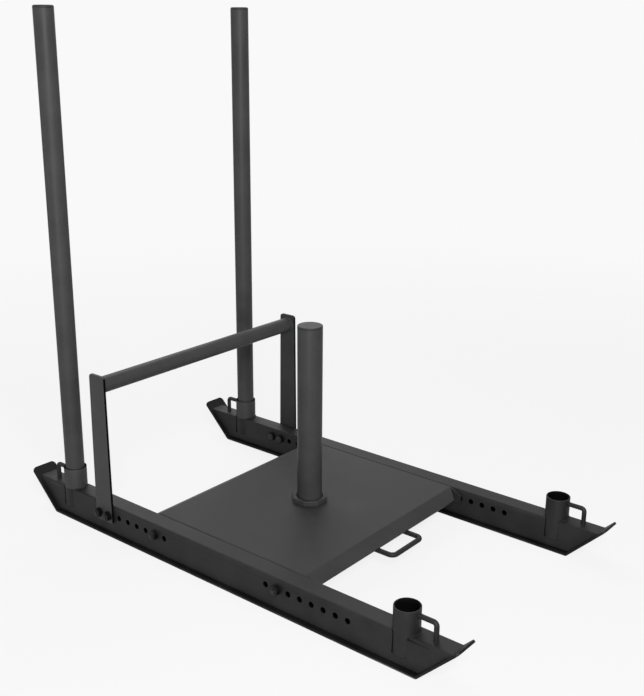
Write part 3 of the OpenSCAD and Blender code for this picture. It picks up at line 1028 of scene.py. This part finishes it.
def octagonCollar(size):
    # Flat sides round a bore, with a corner of the outline at the start of every share of its steps
    mesh = bmesh.new()
    sideCount, boreCount = size["sides"], size["boreSteps"]
    share = boreCount // sideCount
    corner = size["acrossFlats"] / 2 / math.cos(math.pi / sideCount)

    def ring(radius, count, firstStep, height):
        angles = [2 * math.pi * (k + firstStep) / count for k in range(count)]
        return [mesh.verts.new((radius * math.cos(a), radius * math.sin(a), height)) for a in angles]

    levels = [
        (ring(corner, sideCount, 0.5, height), ring(size["inner"], boreCount, share / 2, height))
        for height in (deckTop, deckTop + size["height"])
    ]
    for lower, upper in zip(*levels):
        stitch(mesh, lower, upper)
    for outer, inner in levels:
        for k in range(sideCount):
            rim = [inner[(k * share + j) % boreCount] for j in range(share, -1, -1)]
            mesh.faces.new([outer[k], outer[(k + 1) % sideCount]] + rim)
    return mesh


finishPiece(
    "foldedDeck", deckSheet(deckSize), deckCoat, "sled", "deck_plate",
    # Painted shade on the side flanges beside the rails
    deckSize["bevel"], [(frameCoat, sideFlangeShade)],
)
postTube = tubeProfile(postSize, deckTop, postSize["top"] - postSize["capHead"])
finishPiece("plateStackPost", revolve(postTube), postCoat, "sled", "weight_post")
finishPiece(
    "plateStackPostCap", revolve(capProfile(postSize)), capPlastic, "sled", "post_cap"
)
finishPiece(
    "postFootCollar", octagonCollar(collarSize), deckCoat, "sled", "post_collar",
    collarSize["bevel"],
)
print("deck and post made")

# Pull loop

pullSpan = cadSpan("pull_loop")
pullRod = 5
pullSize = {
    "rod": pullRod,
    "halfWidth": pullSpan["y"][1] - pullRod,
    "crossX": 243.7,
    "tailX": 181.2,
    "level": 41.73,
    "tailTop": pullSpan["z"][1],
    "bend": 11,
}


def pullPath(size):
    half, level = size["halfWidth"], size["level"]
    corners = [
        (size["tailX"], half, size["tailTop"]),
        (size["tailX"], half, level),
        (size["crossX"], half, level),
        (size["crossX"], -half, level),
        (size["tailX"], -half, level),
        (size["tailX"], -half, size["tailTop"]),
    ]
    return bentPath(corners, [size["bend"]] * 4)


finishPiece(
    "towLoop", sweepRod(pullPath(pullSize), pullSize["rod"]), frameCoat, "sled",
    "pull_loop",
)
print("pull loop made")

# Fasteners, set out by geometry nodes

deckSeat = deckSize["halfWidth"] - deckSize["sheet"]
fastenerSize = {
    "shank": 5,
    "acrossFlats": 17,
    "crownShare": 0.95,  # width of the flat end of a head or nut, against the width across flats
    "crownSlope": 30,
    "headHeight": 6.4,
    "nutHeight": 8.4,
    "nutGap": 0.05,
    "washerOuter": 10,
    "washerInner": 5.15,
    "washerThick": 2,
    "washerEases": (0.1, 0.3, 0.3, 0.1),
    "tail": 2,
    "tipEase": 0.6,
    "threadPitch": 1.5,
    "threadDepth": 0.45,
    "threadEnd": 0.5,
    "largestSpin": 58,
    "spinSeed": 7,
    # Ends of heads and nuts get a lighter coat than their sides: painted light on the ends, painted
    # shade on the sides
    "endNormal": 0.98,  # faces that look across the sled more than this get the end finish
}
# Where each set goes: places along the rails, seat of its inner washers and what it clamps
fastenerSets = {
    "bar": {
        "xs": (-holeX(7), -holeX(8)),
        "seat": railSpan["y"][0],
        "grip": railSize["width"] + extent(cadSpan("left_bar_plate")["y"]),
    },
    "deck": {
        "xs": (holeX(2), -holeX(2)),
        "seat": deckSeat,
        "grip": railSpan["y"][1] - deckSeat,
    },
}


def hexBody(size, bottom, top, bore=0, segments=72):
    # Hexagon whose outer corners are turned off by a cone, so each flat ends in a curved edge
    flat = size["acrossFlats"] / 2
    crown = flat * size["crownShare"]
    slope = math.tan(math.radians(size["crownSlope"]))
    rings = [[], [], [], []]
    mesh = bmesh.new()
    for k in range(segments):
        angle = 2 * math.pi * k / segments
        fromFlat = (angle + math.pi / 6) % (math.pi / 3) - math.pi / 6
        radius = flat / math.cos(fromFlat)
        wayX, wayY = math.cos(angle), math.sin(angle)
        shoulder = top - (radius - crown) * slope
        levels = ((radius, bottom), (radius, shoulder), (crown, top), (bore, top))
        for ring, (r, z) in zip(rings, levels):
            ring.append((r * wayX, r * wayY, z))
    inner = [(x, y, bottom) for x, y, _ in rings[3]]
    order = rings + [inner] if bore else rings[:3]
    made = [[mesh.verts.new(point) for point in ring] for ring in order]
    for lower, upper in zip(made, made[1:]):
        stitch(mesh, lower, upper)
    if bore:
        stitch(mesh, made[-1], made[0])
    else:
        mesh.faces.new(made[0])
        mesh.faces.new(made[-1])
    return mesh


def threadedShank(size, grip):
    # Plain shank with rings of thread where it comes through the nut
    shank, pitch, ease = size["shank"], size["threadPitch"], size["tipEase"]
    start = -size["washerThick"]
    end = grip + size["washerThick"] + size["nutHeight"] + size["tail"]
    profile = [(0, start), (shank, start)]
    z = grip + size["washerThick"] + ease
    while z + pitch < end - size["threadEnd"]:
        profile += [(shank, z), (shank - size["threadDepth"], z + pitch / 2)]
        z += pitch
    profile += [(shank, z), (shank, end - ease), (shank - ease, end), (0, end)]
    return revolve(profile, segments=40)


def washer(size, bottom):
    inner, outer, top = size["washerInner"], size["washerOuter"], bottom + size["washerThick"]
    points = [(inner, bottom), (outer, bottom), (outer, top), (inner, top)]
    return revolve(easedOutline(points, size["washerEases"], steps=2), segments=48)


def newTree(name, inputs):
    # Empty geometry tree with named inputs
    tree = bpy.data.node_groups.new(name, "GeometryNodeTree")
    for label, kind in {"Geometry": "Geometry", **inputs}.items():
        tree.interface.new_socket(label, in_out="INPUT", socket_type="NodeSocket" + kind)
    tree.interface.new_socket("Geometry", in_out="OUTPUT", socket_type="NodeSocketGeometry")
    return tree


def fastenerTree(size):
    # Puts a copy of the template at each point, turned to look along the point's own direction, and
    # gives the faces that look across the sled a finish of their own. On heads and nuts that end finish
    # is lighter, painted light, and the darker finish left on their sides is painted shade
    tree = newTree("fastenerSet", {
        "Template": "Object",
        "Largest Spin": "Float",
        "Spin Seed": "Int",
        "Finish": "Material",
        "End Finish": "Material",
    })
    entry = addNode(tree, "NodeGroupInput", (-900, 0)).outputs
    points = addNode(tree, "GeometryNodeMeshToPoints", (-650, 200), {"Mesh": entry["Geometry"]})
    template = addNode(tree, "GeometryNodeObjectInfo", (-650, -50), {"Object": entry["Template"]})
    aim = addNode(
        tree, "GeometryNodeInputNamedAttribute", (-900, -350), data_type="FLOAT_VECTOR", Name="aim"
    )
    turn = addNode(
        tree, "FunctionNodeAlignRotationToVector", (-650, -350), {"Vector": aim.outputs["Attribute"]},
        axis="Z",
    )
    place = addNode(tree, "GeometryNodeInstanceOnPoints", (-350, 100), {
        "Points": points.outputs[0],
        "Instance": template.outputs["Geometry"],
        "Rotation": turn.outputs[0],
    })
    spin = addNode(
        tree, "FunctionNodeRandomValue", (-350, -300),
        {3: entry["Largest Spin"], "Seed": entry["Spin Seed"]}, data_type="FLOAT",
    )
    asVector = addNode(tree, "ShaderNodeCombineXYZ", (-150, -300), {"Z": spin.outputs[1]})
    rotate = addNode(tree, "GeometryNodeRotateInstances", (0, 100), {
        "Instances": place.outputs[0],
        "Rotation": asVector.outputs[0],
    })
    real = addNode(tree, "GeometryNodeRealizeInstances", (300, 100), {0: rotate.outputs[0]})
    outward = addNode(tree, "GeometryNodeInputNormal", (300, -200))
    parts = addNode(tree, "ShaderNodeSeparateXYZ", (460, -200), {0: outward.outputs[0]})
    across = maths(tree, (620, -200), "ABSOLUTE", parts.outputs["Y"])
    paint = addNode(tree, "GeometryNodeSetMaterial", (600, 100), {
        "Geometry": real.outputs[0],
        "Material": entry["Finish"],
    })
    paintEnds = addNode(tree, "GeometryNodeSetMaterial", (900, 100), {
        "Geometry": paint.outputs[0],
        "Selection": maths(tree, (780, -200), "GREATER_THAN", across, size["endNormal"]),
        "Material": entry["End Finish"],
    })
    addNode(tree, "NodeGroupOutput", (1100, 0), {0: paintEnds.outputs[0]})
    return tree


def pointObject(name, points, edges=()):
    # Loose points, or points joined by edges, for a tree to work on
    data = bpy.data.meshes.new(name)
    data.from_pydata([Vector(point) * mmToMetres for point in points], edges, [])
    piece = bpy.data.objects.new(name, data)
    scene.collection.objects.link(piece)
    return piece


def runNodes(piece, tree, values):
    # Sets the modifier's inputs by socket identifier, then keeps the result as a plain mesh
    modifier = piece.modifiers.new(tree.name, "NODES")
    modifier.node_group = tree
    for item in tree.interface.items_tree:
        if item.item_type == "SOCKET" and item.in_out == "INPUT" and item.name in values:
            modifier[item.identifier] = values[item.name]
    depsgraph = bpy.context.evaluated_depsgraph_get()
    made = bpy.data.meshes.new_from_object(piece.evaluated_get(depsgraph))
    piece.modifiers.clear()
    piece.data = made


def setOutFasteners(name, template, place, node, spin, tree, endFinish):
    spots = [(x, side * place["seat"], side) for side in sides.values() for x in place["xs"]]
    piece = pointObject(name, [(x, y, railSize["holeHeight"]) for x, y, _ in spots])
    aims = piece.data.attributes.new("aim", "FLOAT_VECTOR", "POINT")
    for i, (_, _, side) in enumerate(spots):
        aims.data[i].vector = (0, side, 0)
    bmesh.ops.recalc_face_normals(template, faces=template.faces)
    pattern = meshObject(name + "Pattern", template)
    runNodes(piece, tree, {
        "Template": pattern,
        "Largest Spin": math.radians(spin),
        "Spin Seed": fastenerSize["spinSeed"],
        "Finish": fastenerBlackAndShade,
        "End Finish": endFinish,
    })
    bpy.data.objects.remove(pattern)
    handOver(piece, "sled", [node])


def makeFasteners(size):
    tree = fastenerTree(size)
    spin, thick = size["largestSpin"], size["washerThick"]
    headDown = Matrix.Translation((0, 0, -thick)) @ Matrix.Rotation(math.pi, 4, "X")
    for group, place in fastenerSets.items():
        grip = place["grip"]
        nutFoot = grip + thick
        head = moved(hexBody(size, 0, size["headHeight"]), headDown)
        bolt = join([head, threadedShank(size, grip)])
        setOutFasteners(group + "BoltSet", bolt, place, group + "_bolts", spin, tree, fastenerLitFace)
        washers = join([washer(size, -thick), washer(size, grip)])
        setOutFasteners(group + "WasherSet", washers, place, group + "_washers", 0, tree, fastenerBlackAndShade)
        nut = hexBody(size, nutFoot, nutFoot + size["nutHeight"], size["shank"] + size["nutGap"])
        setOutFasteners(group + "NutSet", nut, place, group + "_nuts", spin, tree, frameCoat)


makeFasteners(fastenerSize)
print("fasteners set out")

# Weld beads, swept by geometry nodes

weldSize = {
    "bead": 1.4,
    "pitch": 2.8,
    "ripple": 0.14,
    "wander": 0.12,
    "wanderScale": 140.0,
    "seed": 3,
    "stepsPerRipple": 6,
    "beadSides": 12,
}
smallWeldSize = dict(weldSize, bead=0.6, pitch=2)
barWeldSize = dict(weldSize, bead=1.6)
# Where the beads run, against the parts that they join
weldPlace = {
    "socketOut": 0.4,
    "socketSink": 0.3,
    "socketHalfTurn": 44,
    "footOut": 0.3,
    "footLift": 0.1,
    "headOut": 0.2,
    "barOut": 0.4,
    "barIn": 0.6,
}


def weldTree(size):
    # Sweeps a rippled bead along each run of edges
    tree = newTree("weldBead", {
        "Bead Radius": "Float",
        "Ripple Pitch": "Float",
        "Ripple Depth": "Float",
        "Wander": "Float",
        "Seed": "Float",
        "Finish": "Material",
    })
    entry = addNode(tree, "NodeGroupInput", (-1200, 0)).outputs
    asCurve = addNode(tree, "GeometryNodeMeshToCurve", (-950, 200), {"Mesh": entry["Geometry"]})
    step = maths(tree, (-950, -50), "DIVIDE", entry["Ripple Pitch"], size["stepsPerRipple"])
    resample = addNode(
        tree, "GeometryNodeResampleCurve", (-700, 200), {"Curve": asCurve.outputs[0], "Length": step},
        mode="LENGTH",
    )
    along = addNode(tree, "GeometryNodeSplineParameter", (-950, -300)).outputs["Length"]
    turns = maths(tree, (-700, -250), "DIVIDE", along, entry["Ripple Pitch"])
    wave = maths(tree, (-340, -250), "SINE", maths(tree, (-520, -250), "MULTIPLY", turns, 2 * math.pi))
    ripple = maths(tree, (-160, -250), "MULTIPLY", wave, entry["Ripple Depth"])
    noise = addNode(
        tree, "ShaderNodeTexNoise", (-700, -550), {"W": entry["Seed"]},
        noise_dimensions="4D", Scale=size["wanderScale"],
    )
    centred = maths(tree, (-340, -550), "SUBTRACT", noise.outputs["Fac"], 0.5)
    wander = maths(tree, (-160, -550), "MULTIPLY", centred, entry["Wander"])
    change = maths(tree, (20, -350), "ADD", ripple, wander)
    scale = maths(
        tree, (380, -350), "MULTIPLY", maths(tree, (200, -350), "ADD", change, 1), entry["Bead Radius"]
    )
    ring = addNode(
        tree, "GeometryNodeCurvePrimitiveCircle", (300, -100), Resolution=size["beadSides"], Radius=1.0
    )
    sweep = addNode(
        tree, "GeometryNodeCurveToMesh", (550, 200),
        {"Curve": resample.outputs[0], "Profile Curve": ring.outputs["Curve"], "Scale": scale},
        Fill_Caps=True,
    )
    smooth = addNode(tree, "GeometryNodeSetShadeSmooth", (740, 200), {"Geometry": sweep.outputs[0]})
    real = addNode(tree, "GeometryNodeRealizeInstances", (880, 100), {0: smooth.outputs[0]})
    paint = addNode(tree, "GeometryNodeSetMaterial", (1040, 100), {
        "Geometry": real.outputs[0],
        "Material": entry["Finish"],
    })
    addNode(tree, "NodeGroupOutput", (1200, 0), {0: paint.outputs[0]})
    return tree


def arcRun(centre, radius, startAngle, endAngle, axis="Z", steps=40):
    # Points of an arc round an axis through a centre, angles in degrees
    run = []
    for k in range(steps + 1):
        angle = math.radians(startAngle + (endAngle - startAngle) * k / steps)
        u, v = radius * math.cos(angle), radius * math.sin(angle)
        offset = {"Z": (u, v, 0), "X": (0, u, v), "Y": (u, 0, v)}[axis]
        run.append(Vector(centre) + Vector(offset))
    return run


def layWeld(name, runs, closed, finish, tree, size):
    points, edges = [], []
    for run in runs:
        first = len(points)
        kept = run[:-1] if closed else run
        points += kept
        edges += [(first + k, first + k + 1) for k in range(len(kept) - 1)]
        if closed:
            edges.append((first + len(kept) - 1, first))
    piece = pointObject(name, points, edges)
    runNodes(piece, tree, {
        "Bead Radius": size["bead"] * mmToMetres,
        "Ripple Pitch": size["pitch"] * mmToMetres,
        "Ripple Depth": size["ripple"],
        "Wander": size["wander"],
        "Seed": float(size["seed"]),
        "Finish": finish,
    })
    handOver(piece, "sled", [])


def makeWelds(size, place):
    tree = weldTree(size)
    top, rod = railSize["top"], anchorSize["rod"]
    socketRuns, footRuns, headRuns = [], [], []
    for end in ends.values():
        for side in sides.values():
            spot = socketSpot(end, side)
            ringFoot = spot + Vector((0, 0, top - place["socketSink"]))
            reach, turn = socketSize["outer"] + place["socketOut"], place["socketHalfTurn"]
            for way in (0, 180):
                socketRuns.append(arcRun(ringFoot, reach, way - turn, way + turn))
            foot = spot + Vector((end * anchorSize["reach"], 0, top + place["footLift"]))
            footRuns.append(arcRun(foot, rod + place["footOut"], 0, 360))
            headX = end * (socketSize["outer"] + place["headOut"])
            head = spot + Vector((headX, 0, anchorSize["height"]))
            headRuns.append(arcRun(head, rod + place["headOut"], 0, 360, "X"))
    barRuns = []
    for side in sides.values():
        joint = (barSize["x"], side * (barSize["halfLength"] - place["barIn"]), barSize["z"])
        barRuns.append(arcRun(joint, barSize["outer"] + place["barOut"], 0, 360, "Y"))
    layWeld("socketWelds", socketRuns, False, frameCoat, tree, size)
    layWeld("anchorFootWelds", footRuns, True, frameCoat, tree, smallWeldSize)
    layWeld("anchorHeadWelds", headRuns, True, frameCoat, tree, smallWeldSize)
    layWeld("lowBarWelds", barRuns, True, barCoat, tree, barWeldSize)


makeWelds(weldSize, weldPlace)
print("weld beads laid")
